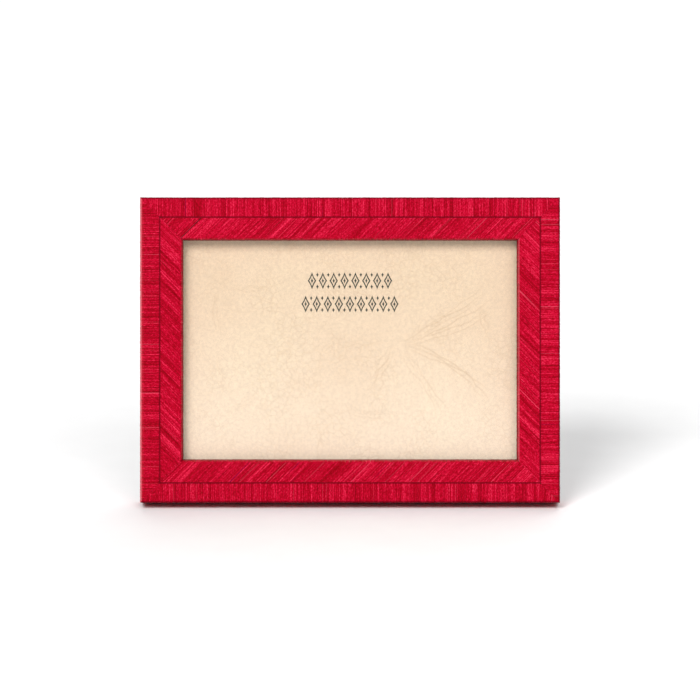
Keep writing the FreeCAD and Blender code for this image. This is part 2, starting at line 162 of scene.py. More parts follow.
class Finish:
    """A material built from nodes round one Principled surface."""

    def __init__(self, name):
        self.material = bpy.data.materials.new(name)
        self.material.use_nodes = True
        self.tree = self.material.node_tree
        self.tree.nodes.clear()
        self.output = self.tree.nodes.new("ShaderNodeOutputMaterial")

    def node(self, kind, settings=None, sockets=None, output=0):
        """Add a node: its settings first, then its sockets by name or place. Gives one output."""
        made = self.tree.nodes.new(kind)
        for name, value in (settings or {}).items():
            if name == "stops":
                self.set_stops(made.color_ramp, value)
            else:
                setattr(made, name, value)
        for name, value in (sockets or {}).items():
            if isinstance(value, Wire):
                self.tree.links.new(value.socket, made.inputs[name])
            else:
                made.inputs[name].default_value = value
        return Wire(self, made.outputs[output])

    def set_stops(self, ramp, stops):
        while len(ramp.elements) < len(stops):
            ramp.elements.new(1.0)
        for element, (position, colour) in zip(ramp.elements, stops):
            element.position = position
            element.color = colour

    def attribute(self, name, output="Vector"):
        return self.node("ShaderNodeAttribute", {"attribute_name": name}, output=output)

    def place(self):
        """Position on the piece at rest, in metres."""
        return self.node("ShaderNodeTexCoord", output="Object")

    def stretch(self, vector, scale):
        """A vector with each part multiplied by its own number."""
        return self.node("ShaderNodeVectorMath", {"operation": "MULTIPLY"}, {0: vector, 1: scale})

    def noise(self, vector, scale, detail=2.0, roughness=0.5):
        sockets = {"Vector": vector, "Scale": scale, "Detail": detail, "Roughness": roughness}
        return self.node("ShaderNodeTexNoise", None, sockets, output="Fac")

    def ramp(self, factor, stops):
        return self.node("ShaderNodeValToRGB", {"stops": stops}, {"Fac": factor}, output="Color")

    def mix(self, factor, first, second, blend="MIX"):
        """One colour over another."""
        sockets = {0: factor, 6: first, 7: second}
        return self.node("ShaderNodeMix", {"data_type": "RGBA", "blend_type": blend}, sockets, output=2)

    def bump(self, height, distance, strength=1.0):
        sockets = {"Height": height, "Distance": distance, "Strength": strength}
        return self.node("ShaderNodeBump", None, sockets, output="Normal")

    def surface(self, shader):
        self.tree.links.new(shader.socket, self.output.inputs["Surface"])
        return self.material

    def principled(self, **sockets):
        named = {name.replace("_", " "): value for name, value in sockets.items()}
        return self.surface(self.node("ShaderNodeBsdfPrincipled", None, named))


def straw_finish(name, stops):
    """Split straw dyed and burnished: hair-fine lines along each straw, a grainy skin, pink lines painted as
    glints, painted highlight and shade at the arrises and reveals, and glue stains.
    """
    finish = Finish(name)
    grain = finish.attribute("grain")
    tone = finish.attribute("tone", "Fac")
    rubbed = finish.attribute("rubbed", "Fac")

    def flecks(scale, detail=1.0, roughness=0.5):
        """Noise drawn out by a scale along the straw, across it and from straw to straw."""
        return finish.noise(finish.stretch(grain, scale), 1.0, detail, roughness)

    lines = flecks((36.0, 2300.0, 31.7), 2.0, 0.55)
    fibres = flecks((70.0, 5200.0, 17.3))
    skin = flecks((1300.0, 2600.0, 7.9))
    bands = flecks((25.0, 420.0, 43.0))
    # Brings the sum of the five shares down to just under the middle of the stops.
    excess = 0.605
    shade = tone * 0.12 + lines * 0.78 + fibres * 0.3 + skin * 0.7 + bands * 0.25 - excess
    colour = finish.ramp(shade, stops)
    plum = flecks((22.0, 800.0, 91.7)).between(0.74, 0.8)
    colour = finish.mix(plum * 0.75, colour, dye(92, 0, 44))
    # Thin pink lines along the straws: a painted glint.
    painted_glints = flecks((8.0, 2100.0, 57.1)).between(0.7, 0.76)
    colour = finish.mix(painted_glints * 0.45, colour, dye(234, 96, 120))
    # Ticks along the straw ends that break up the painted highlight.
    highlight_ticks = flecks((900.0, 1500.0, 63.1), 2.0, 0.6)
    # Below zero the attribute is painted shade on unlit arrises and at the reveals' foot, plus glue stains; above
    # zero it is a painted highlight on lit arrises.
    painted_shade_and_glue = finish.node("ShaderNodeMath", {"operation": "MAXIMUM"}, {0: -1.0 * rubbed, 1: 0.0})
    painted_highlight = finish.node("ShaderNodeMath", {"operation": "MAXIMUM"}, {0: rubbed, 1: 0.0})
    # Dark wine red for that painted shade and glue, pale pink for the painted highlight.
    colour = finish.mix(painted_shade_and_glue * 0.62, colour, dye(92, 0, 18))
    colour = finish.mix(painted_highlight * (0.3 + 0.8 * highlight_ticks), colour, dye(216, 112, 122))
    relief = fibres * 0.5 + lines * 0.9 + skin * 0.35
    return finish.principled(
        Base_Color=colour,
        Roughness=0.36 + fibres * 0.2,
        Specular_IOR_Level=0.035,
        Normal=finish.bump(relief, 0.00008, 0.6),
    )


def line_finish():
    """The dark stringing between the bands."""
    finish = Finish("wine_red_stringing")
    grain = finish.noise(finish.place(), 900.0, 3.0)
    colour = finish.ramp(grain, [(0.25, dye(104, 0, 14)), (0.75, dye(142, 0, 22))])
    return finish.principled(
        Base_Color=colour,
        Roughness=0.5,
        Specular_IOR_Level=0.05,
        Normal=finish.bump(grain, 0.00003),
    )


def card_finish():
    """Cream card like creased parchment: mottled, finely wrinkled, with painted shade down in its wrinkles and
    creases, and a little darker towards the top.
    """
    finish = Finish("cream_parchment_card")
    place = finish.place()
    crease = finish.attribute("crease", "Fac")
    clouds = finish.noise(place, 22.0, 3.0, 0.55)
    fleece = finish.noise(place, 800.0, 3.0, 0.65)
    pores = finish.noise(place, 1500.0, 2.0, 0.6)
    drift = finish.node(
        "ShaderNodeTexNoise", None, {"Vector": place, "Scale": 180.0, "Detail": 2.0}, output="Color",
    )
    bent = finish.node("ShaderNodeVectorMath", {"operation": "SCALE"}, {0: drift, "Scale": 0.0035})
    bent = finish.node("ShaderNodeVectorMath", {"operation": "ADD"}, {0: bent, 1: place})
    cells = finish.node(
        "ShaderNodeTexVoronoi", {"feature": "DISTANCE_TO_EDGE"}, {"Vector": bent, "Scale": 330.0},
    )
    wrinkle = 1 - cells.between(0.0, 0.11)
    patch = finish.noise(place, 55.0, 2.0, 0.5).between(0.42, 0.6)
    creams = [(0.3, dye(243, 218, 195)), (0.5, dye(247, 224, 202)), (0.72, dye(248, 227, 204))]
    fawn = dye(224, 201, 182)
    colour = finish.ramp(clouds, creams)
    colour = finish.mix(fleece.between(0.36, 0.66) * 0.44, colour, fawn)
    colour = finish.mix(pores.between(0.4, 0.62) * 0.2, colour, fawn)
    # Painted shade in the fine wrinkles.
    colour = finish.mix(wrinkle * (0.04 + 0.12 * patch), colour, dye(206, 168, 130))
    # Painted shade down in the pressed creases.
    colour = finish.mix(crease.between(0.05, 1.0) * 0.34, colour, dye(200, 162, 124))
    level = finish.node("ShaderNodeSeparateXYZ", None, {0: place}, output="Z")
    warm_tint = (0.9, 0.855, 0.79, 1.0)
    colour = finish.mix(level.between(0.015, 0.1), colour, warm_tint, "MULTIPLY")
    relief = fleece * 1.3 + pores * 0.5 - wrinkle * (0.12 + 0.4 * patch)
    return finish.principled(
        Base_Color=colour,
        Roughness=0.62 + pores * 0.2,
        Specular_IOR_Level=0.2,
        Normal=finish.bump(relief, 0.00018, 0.8),
    )


def ink_finish():
    """Dark olive-grey stamping ink with a slight metal glint."""
    finish = Finish("olive_stamping_ink")
    wear_and_painted_arris_light = finish.noise(finish.place(), 1800.0, 3.0, 0.6)
    colour = finish.ramp(wear_and_painted_arris_light, [(0.35, dye(38, 38, 32)), (0.75, dye(86, 84, 72))])
    return finish.principled(Base_Color=colour, Roughness=0.35 + wear_and_painted_arris_light * 0.25, Metallic=0.35)


def glass_finish():
    """Clear glass thin enough that light passes straight through it."""
    finish = Finish("clear_window_glass")
    clear = finish.node("ShaderNodeBsdfTransparent", None, {"Color": (0.985, 0.995, 0.99, 1.0)})
    shine = finish.node("ShaderNodeBsdfGlossy", None, {"Roughness": 0.02, "Color": (1.0, 1.0, 1.0, 1.0)})
    slant = finish.node("ShaderNodeLayerWeight", None, {"Blend": 0.5}, output="Facing")
    mixed = finish.node("ShaderNodeMixShader", None, {0: 0.03 + 0.9 * slant ** 5, 1: clear, 2: shine})
    return finish.surface(mixed)


def stained_wood_finish(name, stretch_by):
    """Close-grained wood stained dark oxblood, with open pores along the rail."""
    finish = Finish(name)
    along = finish.stretch(finish.place(), stretch_by)
    rings = finish.noise(along, 1.0, 4.0, 0.6)
    pores = finish.noise(finish.stretch(along, (3.0, 3.0, 3.0)), 2.4, 2.0, 0.5)
    colour = finish.ramp(rings, [(0.3, dye(46, 14, 14)), (0.5, dye(74, 22, 22)), (0.72, dye(100, 36, 30))])
    open_pores = pores.between(0.62, 0.72)
    colour = finish.mix(open_pores * 0.7, colour, dye(26, 8, 9))
    return finish.principled(
        Base_Color=colour,
        Roughness=0.42 + rings * 0.18,
        Specular_IOR_Level=0.4,
        Normal=finish.bump(rings * 0.3 - open_pores, 0.00008, 0.6),
    )


def suede_finish():
    """Short-napped suede cloth, charcoal brown: a fine nap, brushed unevenly, with pale fibre tips."""
    finish = Finish("charcoal_suede")
    place = finish.place()
    brushed = finish.noise(place, 75.0, 4.0, 0.62)
    nap = finish.noise(place, 1300.0, 4.0, 0.7)
    tips = finish.noise(place, 3600.0, 2.0, 0.6).between(0.56, 0.72)
    shade = brushed * 0.35 + nap * 0.65
    colour = finish.ramp(shade, [(0.36, dye(46, 38, 34)), (0.5, dye(66, 56, 50)), (0.64, dye(90, 78, 70))])
    colour = finish.mix(tips * 0.35, colour, dye(128, 114, 103))
    return finish.principled(
        Base_Color=colour,
        Roughness=0.96,
        Specular_IOR_Level=0.1,
        Sheen_Weight=0.3,
        Sheen_Roughness=0.45,
        Sheen_Tint=(0.75, 0.7, 0.66, 1.0),
        Normal=finish.bump(nap, 0.0002, 0.8),
    )


def brass_finish():
    """Lacquered brass, finely brushed, a little dull in places."""
    finish = Finish("lacquered_brass")
    place = finish.place()
    brushing = finish.noise(finish.stretch(place, (350.0, 6500.0, 6500.0)), 1.0, 2.0, 0.5)
    tarnish = finish.noise(place, 420.0, 3.0, 0.6).between(0.45, 0.75)
    colour = finish.ramp(brushing, [(0.25, dye(208, 172, 108)), (0.75, dye(224, 192, 130))])
    colour = finish.mix(tarnish * 0.3, colour, dye(166, 126, 74))
    return finish.principled(
        Base_Color=colour,
        Metallic=1.0,
        Roughness=0.22 + brushing * 0.12 + tarnish * 0.14,
        Normal=finish.bump(brushing, 0.00001, 0.5),
    )


def steel_finish():
    finish = Finish("rolled_strip_steel")
    scratches = finish.noise(finish.stretch(finish.place(), (3000.0, 600.0, 3000.0)), 1.0, 2.0)
    colour = finish.ramp(scratches, [(0.3, dye(120, 122, 124)), (0.7, dye(176, 178, 180))])
    return finish.principled(Base_Color=colour, Metallic=1.0, Roughness=0.3 + scratches * 0.25)


def board_finish(name, dark, light, scale):
    """Pressed fibre or pulp board: short mottled fibres, matt."""
    finish = Finish(name)
    fibres = finish.noise(finish.place(), scale, 4.0, 0.7)
    colour = finish.ramp(fibres, [(0.3, dark), (0.7, light)])
    return finish.principled(
        Base_Color=colour,
        Roughness=0.85,
        Specular_IOR_Level=0.2,
        Normal=finish.bump(fibres, 0.00015, 0.6),
    )


def ribbon_finish():
    """Grosgrain: fine warp threads over the ribs that the mesh carries."""
    finish = Finish("charcoal_grosgrain")
    threads = finish.noise(finish.stretch(finish.place(), (7000.0, 900.0, 900.0)), 1.0, 2.0, 0.6)
    colour = finish.ramp(threads, [(0.3, dye(48, 43, 41)), (0.7, dye(84, 76, 72))])
    return finish.principled(
        Base_Color=colour,
        Roughness=0.7,
        Sheen_Weight=0.25,
        Normal=finish.bump(threads, 0.00006, 0.7),
    )


def floor_finish():
    finish = Finish("pale_studio_floor")
    paper = finish.noise(finish.place(), 40.0, 3.0)
    colour = finish.ramp(paper, [(0.3, (0.9, 0.9, 0.9, 1.0)), (0.7, (0.92, 0.92, 0.92, 1.0))])
    return finish.principled(Base_Color=colour, Roughness=0.9, Specular_IOR_Level=0.1)


# Straw tones from dark to pale; the palest, pink end also gives thin glint lines, a painted highlight.
STRAW_STOPS = [
    (0.22, dye(128, 0, 12)),
    (0.4, dye(157, 0, 25)),
    (0.5, dye(178, 0, 36)),
    (0.6, dye(198, 16, 54)),
    (0.76, dye(228, 50, 82)),
]
straw_red = straw_finish("crimson_rye_straw", STRAW_STOPS)
wine_line = line_finish()
card_paper = card_finish()
stamping_ink = ink_finish()
window_glass = glass_finish()
wood_across = stained_wood_finish("oxblood_rail_across", (60.0, 700.0, 700.0))
wood_upright = stained_wood_finish("oxblood_rail_upright", (700.0, 700.0, 60.0))
suede = suede_finish()
brass = brass_finish()
strip_steel = steel_finish()
brown_board = board_finish("brown_fibreboard", dye(96, 68, 45), dye(148, 110, 76), 700.0)
blacked_board = board_finish("blacked_fibreboard", dye(34, 29, 26), dye(62, 54, 48), 700.0)
grey_board = board_finish("grey_pulp_board", dye(138, 133, 126), dye(176, 171, 163), 500.0)
grosgrain = ribbon_finish()
studio_floor = floor_finish()


# ---------------------------------------------------------------- putting meshes together

def face_outwards(mesh):
    """Turn every face of a closed mesh outwards."""
    shaped = bmesh.new()
    shaped.from_mesh(mesh)
    bmesh.ops.recalc_face_normals(shaped, faces=shaped.faces)
    shaped.to_mesh(mesh)
    shaped.free()


def make_piece(name, points, faces, material, axes, body, replaced=(), sharp=35.0, layers=None):
    """A piece of the object: its mesh, its finish, and the body it rides on, if it rides on just one."""
    mesh = bpy.data.meshes.new(name)
    mesh.from_pydata([tuple(point) for point in points], [], faces)
    for layer, (kind, values) in (layers or {}).items():
        attribute = mesh.attributes.new(layer, kind, "POINT")
        field = "vector" if kind == "FLOAT_VECTOR" else "value"
        attribute.data.foreach_set(field, np.array(values, dtype=np.float32).ravel())
    face_outwards(mesh)
    mesh.shade_smooth()
    mesh.set_sharp_from_angle(angle=math.radians(sharp))
    mesh.materials.append(material)
    mesh.transform(axes)
    piece = bpy.data.objects.new(name, mesh)
    bpy.context.scene.collection.objects.link(piece)
    if body:
        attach(piece, body)
    if replaced:
        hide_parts(*replaced)
    return piece


def grid_faces(first, columns, rows, flip=False):
    """Quads of a grid of points that were added row after row within each column."""
    faces = []
    for column in range(columns - 1):
        for row in range(rows - 1):
            corner = first + column * rows + row
            quad = (corner, corner + rows, corner + rows + 1, corner + 1)
            faces.append(quad[::-1] if flip else quad)
    return faces


def closed_grid(first, columns, rows):
    """A closed slab: an upper grid of points, then a lower one of the same size, and its rim."""
    lower = first + columns * rows
    faces = grid_faces(first, columns, rows) + grid_faces(lower, columns, rows, flip=True)
    rim = [column * rows for column in range(columns)]
    rim += [(columns - 1) * rows + row for row in range(1, rows)]
    rim += [column * rows + rows - 1 for column in range(columns - 2, -1, -1)]
    rim += [row for row in range(rows - 2, 0, -1)]
    for here, there in zip(rim, rim[1:] + rim[:1]):
        faces.append((first + here, first + there, lower + there, lower + here))
    return faces


def loop_faces(count, size):
    """Quads between closed loops of points, one loop after the other, and a strip that closes each end."""
    faces = []
    for number in range(count - 1):
        start, beyond = number * size, (number + 1) * size
        for place in range(size):
            after = (place + 1) % size
            faces.append((start + place, start + after, beyond + after, beyond + place))
    for start in (0, (count - 1) * size):
        for place in range(size // 2 - 1):
            mirror = size - 1 - place
            faces.append((start + place, start + place + 1, start + mirror - 1, start + mirror))
    return faces


def gather(parts):
    """Points and faces of many parts as those of one."""
    points, faces = [], []
    for more_points, more_faces in parts:
        faces += [tuple(place + len(points) for place in face) for face in more_faces]
        points += more_points
    return points, faces


def eased(value):
    """An eased step from 0 to 1."""
    value = min(max(value, 0.0), 1.0)
    return value * value * (3 - 2 * value)


# ---------------------------------------------------------------- straw

class StrawBed:
    """A band of split straws glued side by side, each one a closed, slightly crowned slip."""

    def __init__(self, thickness):
        self.thickness = thickness
        self.points = []
        self.faces = []
        self.grain = []
        self.tones = []
        # Painted highlight (above zero), painted shade and glue stain (below zero) at each point.
        self.rubbed = []

    def lay(self, straw, low, high, stations, place, rubbed=None, ripple=0.02 * MM):
        """One straw between two places across the band, with points at each column's stations."""
        columns = 5
        low, high = low + straw["gap"] / 2, high - straw["gap"] / 2
        first = len(self.points)
        for layer in ("upper", "lower"):
            for column in range(columns):
                share = column / (columns - 1)
                across = low + (high - low) * share
                crown = straw["crown"] * (1 - (2 * share - 1) ** 2)
                rows = stations(across)
                for along in rows:
                    height = -self.thickness
                    if layer == "upper":
                        wave = noise.noise(Vector((across * 900, along * 260, straw["number"] * 3.7)))
                        height = straw["lift"] + crown + ripple * wave
                    self.points.append(place(across, along, height))
                    self.grain.append((along, across, straw["number"]))
                    self.tones.append(straw["tone"])
                    self.rubbed.append(rubbed(along) if rubbed else 0.0)
        self.faces += closed_grid(first, columns, len(rows))

    def make(self, name, node):
        layers = {
            "grain": ("FLOAT_VECTOR", self.grain),
            "tone": ("FLOAT", self.tones),
            "rubbed": ("FLOAT", self.rubbed),
        }
        return make_piece(
            name, self.points, self.faces, straw_red, upright, "frame", (node,), 50.0, layers,
        )


def evenly(start, end, count):
    return [start + (end - start) * step / (count - 1) for step in range(count)]


def sort_straws(seed, low, high, narrowest, widest, middle_tone=0.5):
    """Straws of random width, tone and crown that fill a band from low to high."""
    chance = random.Random(seed)
    straws = []
    place = low
    number = seed * 1000
    while place < high:
        width = chance.uniform(narrowest, widest)
        end = place + width
        if high - end < narrowest * 0.6:
            end = high
        straws.append({
            "low": place,
            "high": end,
            "number": number,
            "tone": chance.gauss(middle_tone, 0.24),
            "gap": chance.choice((0.01, 0.02, 0.03, 0.05)) * MM,
            "crown": chance.uniform(0.02, 0.06) * MM,
            "lift": chance.uniform(-0.02, 0.05) * MM,
        })
        place = end
        number += 1
    return straws


def round_arris(radius, along):
    """Inset, depth behind the face and outward direction, along a path from a side onto the face."""
    turn = along / radius
    if turn < math.pi / 2:
        return radius * (1 - math.cos(turn)), radius * (1 - math.sin(turn)), (-math.cos(turn), math.sin(turn))
    return radius + along - radius * math.pi / 2, 0.0, (0.0, 1.0)


def arris_reach(radius, inset):
    """How far along that path an inset from the side is reached."""
    if inset < radius:
        return radius * math.acos(1 - inset / radius)
    return radius * math.pi / 2 + inset - radius


def lay_border(side, straws):
    """Crossbanded straws that run square to the outer edge and fold over its arris."""
    half = half_length(side) - MITRE_GAP
    arc = OUTER_ARRIS * math.pi / 2
    # Plus one paints a highlight on the outer arris, minus one paints shade on it.
    wear_and_painted_arris_light = 1.0 if side == "left" else -1.0
    glue_margin = 0.45 * MM
    glued_from = arris_reach(OUTER_ARRIS, BORDER - LINE_GAP) - glue_margin

    def stations(across):
        end = arris_reach(OUTER_ARRIS, min(BORDER - LINE_GAP, half - abs(across)))
        bend = min(arc, end * 0.6)
        last = max(end - glue_margin, bend + (end - bend) * 0.7)
        return evenly(0.0, bend, 7)[:-1] + evenly(bend, last, 8) + [end]

    def place(across, along, height):
        inset, behind, (out, front) = round_arris(OUTER_ARRIS, along)
        return on_side(side, across, inset + height * out, DEPTH - behind + height * front)

    def rubbed(along):
        """A painted highlight on the left's outer arris, painted shade on the others', and glue-stained along the
        dark line.
        """
        painted_arris_light = wear_and_painted_arris_light * (1 - eased((along - 1.0 * MM) / (0.5 * MM)))
        return painted_arris_light - 1.2 * eased((along - glued_from) / glue_margin)

    bed = StrawBed(STRAW * 0.9)
    for straw in straws:
        bed.lay(straw, straw["low"], straw["high"], stations, place, rubbed)
    bed.make(f"border_straws_{side}", f"border_straw_{side}")


def lay_edge(side, straws):
    """The same straws carried down the outer side to the back."""
    def stations(across):
        return evenly(0.0, DEPTH - OUTER_ARRIS, 7)

    def place(across, along, height):
        return on_side(side, across, -height, along)

    bed = StrawBed(STRAW * 0.9)
    for straw in straws:
        flat = dict(straw, lift=min(straw["lift"], 0.0), crown=straw["crown"] * 0.6)
        bed.lay(flat, straw["low"], straw["high"], stations, place, None, 0.01 * MM)
    bed.make(f"edge_straws_{side}", f"edge_straw_{side}")


def lay_inner(side, seed):
    """Slanted straws between the dark line and the window, all leaning one way on facing rails."""
    outer, inner = LINE + LINE_GAP, FACE - SIGHT_ARRIS
    half = half_length(side) - MITRE_GAP
    slant = {"top": (1, -1), "bottom": (1, 1), "left": (-1, 1), "right": (-1, -1)}[side]
    run = Vector(slant).normalized()
    square = Vector((-run.y, run.x))
    corners = [
        Vector((-(half - outer), outer)),
        Vector((half - outer, outer)),
        Vector((half - inner, inner)),
        Vector((-(half - inner), inner)),
    ]

    def stations(across):
        """From where a line along the straw enters the band to where it leaves it."""
        crossings = []
        for here, there in zip(corners, corners[1:] + corners[:1]):
            near, far = here.dot(square), there.dot(square)
            if abs(far - near) > 1e-12 and min(near, far) - 1e-9 <= across <= max(near, far) + 1e-9:
                share = min(max((across - near) / (far - near), 0.0), 1.0)
                crossings.append(here.lerp(there, share).dot(run))
        return evenly(min(crossings), max(crossings), 8)

    def place(across, along, height):
        point = run * along + square * across
        return on_side(side, point.x, point.y, DEPTH + height)

    reaches = sorted(corner.dot(square) for corner in corners)
    bed = StrawBed(STRAW * 0.9)
    low, high = reaches[0] + 0.02 * MM, reaches[-1] - 0.02 * MM
    for straw in sort_straws(seed, low, high, 1.0 * MM, 2.8 * MM, TONES[side]):
        inside = (reach for reach in reaches[1:3] if straw["low"] < reach < straw["high"])
        cuts = [straw["low"], *inside, straw["high"]]
        for here, there in zip(cuts, cuts[1:]):
            if there - here > 0.3 * MM:
                bed.lay(straw, here, there, stations, place)
    bed.make(f"slanted_straws_{side}", f"inner_straw_{side}")


def lay_reveal(side, seed):
    """Short straws on the window's slightly raked reveal that fold over its arris onto the face."""
    half = half_length(side) - FACE
    reveal = DEPTH - REVEAL - SIGHT_ARRIS
    arc = SIGHT_ARRIS * math.pi / 2

    def stations(across):
        if abs(across) > half:
            start = reveal + arris_reach(SIGHT_ARRIS, abs(across) - half)
            return evenly(start, reveal + arc, 13)
        cut_back = min(max(1 - (half - abs(across)) / RAKE, 0.0), 0.98)
        start = reveal * cut_back
        return evenly(start, reveal, 7) + evenly(reveal, reveal + arc, 7)[1:]

    def place(across, along, height):
        if along < reveal:
            rake = RAKE * (1 - along / reveal) if height > -STRAW / 2 else 0.0
            return on_side(side, across, FACE + rake + height, REVEAL + along)
        inset, behind, (out, front) = round_arris(SIGHT_ARRIS, along - reveal)
        return on_side(side, across, FACE - inset - height * out, DEPTH - behind + height * front)

    def rubbed(along):
        """Darker where it meets the glass, painted shade in the recess with glue and dust; a painted highlight on
        the right arris.
        """
        # Painted shade, with glue, over the part of the reveal nearest the glass.
        painted_shade_and_glue = 1.5 * (1 - eased(along / (0.7 * reveal)))
        # A painted highlight just over the right reveal's arris.
        from_arris = (along - reveal - arc * 0.4) / (0.22 * MM)
        painted_highlight = 0.9 * math.exp(-from_arris ** 2) if side == "right" else 0.0
        return painted_highlight - painted_shade_and_glue

    bed = StrawBed(STRAW * 0.9)
    limit = half + SIGHT_ARRIS - 0.05 * MM
    for straw in sort_straws(seed, -limit, limit, 1.0 * MM, 2.6 * MM):
        straw["lift"] = min(straw["lift"], 0.01 * MM)
        bed.lay(straw, straw["low"], straw["high"], stations, place, rubbed, 0.01 * MM)
    bed.make(f"reveal_straws_{side}", f"sight_straw_{side}")


def lay_dark_line(side, seed):
    """A hair-thin stringing, cut by hand, so its width wanders a little."""
    half = half_length(side) - MITRE_GAP
    steps = 121
    points = []
    for forward in (DEPTH - 0.04 * MM, DEPTH - STRAW):
        for edge, inset in ((0, BORDER), (1, LINE)):
            for step in range(steps):
                share = 2 * step / (steps - 1) - 1
                wander = 0.04 * MM * noise.noise(Vector((step * 0.31, edge * 9.1, seed * 5.3)))
                place = inset + wander
                points.append(on_side(side, share * (half - place), place, forward))
    faces = closed_grid(0, 2, steps)
    make_piece(
        f"stringing_{side}", points, faces, wine_line, upright, "frame", (f"dark_line_{side}",),
    )


for index, side in enumerate(SIDES):
    reach = half_length(side) - 0.05 * MM
    border_straws = sort_straws(11 + index, -reach, reach, 0.9 * MM, 2.6 * MM, TONES[side])
    lay_border(side, border_straws)
    lay_edge(side, border_straws)
    lay_inner(side, 21 + index)
    lay_reveal(side, 31 + index)
    lay_dark_line(side, 41 + index)


# ---------------------------------------------------------------- card, ornament and window

card_low, card_high = measure("insert_card")
CARD_FRONT = -card_low.y - 0.1 * MM

# Creases, as a skin shows them: sprays of strands that leave one knot right of the window's middle,
# and short faint ones scattered by chance. Heading and bend are in degrees, length and the space
# between strands in millimetres.
Spray = namedtuple("Spray", "heading bend length apart strands depth")
KNOT = Vector((20.0 * MM, HEIGHT / 2 + 3.0 * MM))
SPRAYS = (
    Spray(20, 20, 52, 2.0, 4, 1.0),
    Spray(5, 30, 48, 1.8, 2, 0.9),
    Spray(-10, -45, 50, 1.5, 3, 1.0),
    Spray(-50, -15, 42, 2.0, 3, 0.7),
    Spray(-125, 25, 28, 1.8, 3, 0.8),
    Spray(170, 30, 26, 1.6, 2, 0.6),
)
SCATTERED_SPRAYS = 14
CREASE_STEPS = 60


def scatter_sprays(chance):
    """Short faint sprays anywhere on the card, each with the place it starts from."""
    for _ in range(SCATTERED_SPRAYS):
        start = Vector((chance.uniform(-66, 60) * MM, HEIGHT / 2 + chance.uniform(-40, 40) * MM))
        heading, bend = chance.uniform(0, 360), chance.uniform(-50, 50)
        length, apart = chance.uniform(12, 30), chance.uniform(1.0, 2.2)
        yield start, Spray(heading, bend, length, apart, chance.randint(2, 3), chance.uniform(0.35, 0.7))


def bent_line(start, spray):
    """Points along an evenly bent line from the start."""
    points = [start.copy()]
    for step in range(CREASE_STEPS):
        heading = math.radians(spray.heading + spray.bend * step / CREASE_STEPS)
        stride = spray.length * MM / CREASE_STEPS
        points.append(points[-1] + Vector((math.cos(heading), math.sin(heading))) * stride)
    return points


def crease_strands():
    """Every strand of every spray as a fine run of points, in upright X and Z, with its depth."""
    chance = random.Random(77)
    sprays = [(KNOT, spray) for spray in SPRAYS] + list(scatter_sprays(chance))
    for start, spray in sprays:
        line = bent_line(start, spray)
        for strand in range(spray.strands):
            shift = (strand - (spray.strands - 1) / 2) * spray.apart * MM
            wobble = chance.uniform(0, 50)
            points = []
            for step in range(chance.randint(0, 7), chance.randint(54, CREASE_STEPS)):
                share = step / CREASE_STEPS
                ahead = line[step + 1] - line[step]
                normal = Vector((-ahead.y, ahead.x)).normalized()
                sway = noise.noise(Vector((share * 5, wobble, strand))) * spray.apart * 0.9 * MM
                sway += noise.noise(Vector((share * 19, wobble, strand + 40))) * 0.4 * MM
                points.append(line[step] + normal * (shift * (0.6 + 0.6 * share) + sway))
            yield points, spray.depth * chance.uniform(0.6, 1.0)


def make_card():
    """The insert card: a thin sheet whose front is pressed with creases like a skin's."""
    step = 0.36 * MM
    columns = int((card_high.x - card_low.x) / step) + 1
    rows = int((card_high.z - card_low.z) / step) + 1
    across = np.linspace(card_low.x, card_high.x, columns)
    up = np.linspace(card_low.z, card_high.z, rows)
    grid_x, grid_z = (part.ravel() for part in np.meshgrid(across, up, indexing="ij"))
    crease = np.zeros(grid_x.size)
    width = 0.36 * MM
    reach = 3 * width
    crease_depth, swell_height = 0.085, 0.035
    for strand, depth in crease_strands():
        for number, (here, there) in enumerate(zip(strand, strand[1:])):
            fade = math.sin(math.pi * (number + 1) / len(strand)) ** 0.4
            near = (grid_x > min(here.x, there.x) - reach) & (grid_x < max(here.x, there.x) + reach)
            near &= (grid_z > min(here.y, there.y) - reach) & (grid_z < max(here.y, there.y) + reach)
            leg = there - here
            share = (grid_x[near] - here.x) * leg.x + (grid_z[near] - here.y) * leg.y
            share = np.clip(share / leg.length_squared, 0.0, 1.0)
            off_x = grid_x[near] - here.x - share * leg.x
            off_z = grid_z[near] - here.y - share * leg.y
            dip = depth * fade * np.exp(-(off_x ** 2 + off_z ** 2) / width ** 2)
            crease[near] = np.maximum(crease[near], dip)
    swell = np.array([
        noise.fractal(Vector((x * 160, z * 160, 3.3)), 0.9, 2.1, 3) for x, z in zip(grid_x, grid_z)
    ])
    front = -CARD_FRONT + crease * crease_depth * MM - np.clip(swell, -1, 1) * swell_height * MM
    upper = np.stack([grid_x, front, grid_z], axis=1)
    lower = np.stack([grid_x, np.full(grid_x.size, card_high.y), grid_z], axis=1)
    points = np.concatenate([upper, lower])
    layers = {"crease": ("FLOAT", np.concatenate([crease, np.zeros(grid_x.size)]))}
    make_piece(
        "creased_card", points, closed_grid(0, columns, rows), card_paper, upright, "frame",
        ("insert_card",), 60.0, layers,
    )


def thin_slip(outline, back, front):
    """Points and faces of a flat slip with that outline in upright X and Z."""
    count = len(outline)
    points = [Vector((x, -front, z)) for x, z in outline] + [Vector((x, -back, z)) for x, z in outline]
    faces = [tuple(range(count)), tuple(range(2 * count - 1, count - 1, -1))]
    for here in range(count):
        there = (here + 1) % count
        faces.append((here, there, count + there, count + here))
    return points, faces


def lozenge(middle_x, middle_z, half_across, half_up, pull=0.22):
    """The outline of a diamond with its sides drawn slightly in."""
    outline = []
    steps = 5
    tips = ((half_across, 0), (0, half_up), (-half_across, 0), (0, -half_up))
    for (x1, z1), (x2, z2) in zip(tips, tips[1:] + tips[:1]):
        for step in range(steps):
            share = step / steps
            drawn = 1 - pull * math.sin(math.pi * share)
            x = (x1 + (x2 - x1) * share) * drawn
            z = (z1 + (z2 - z1) * share) * drawn
            outline.append((middle_x + x, middle_z + z))
    return outline


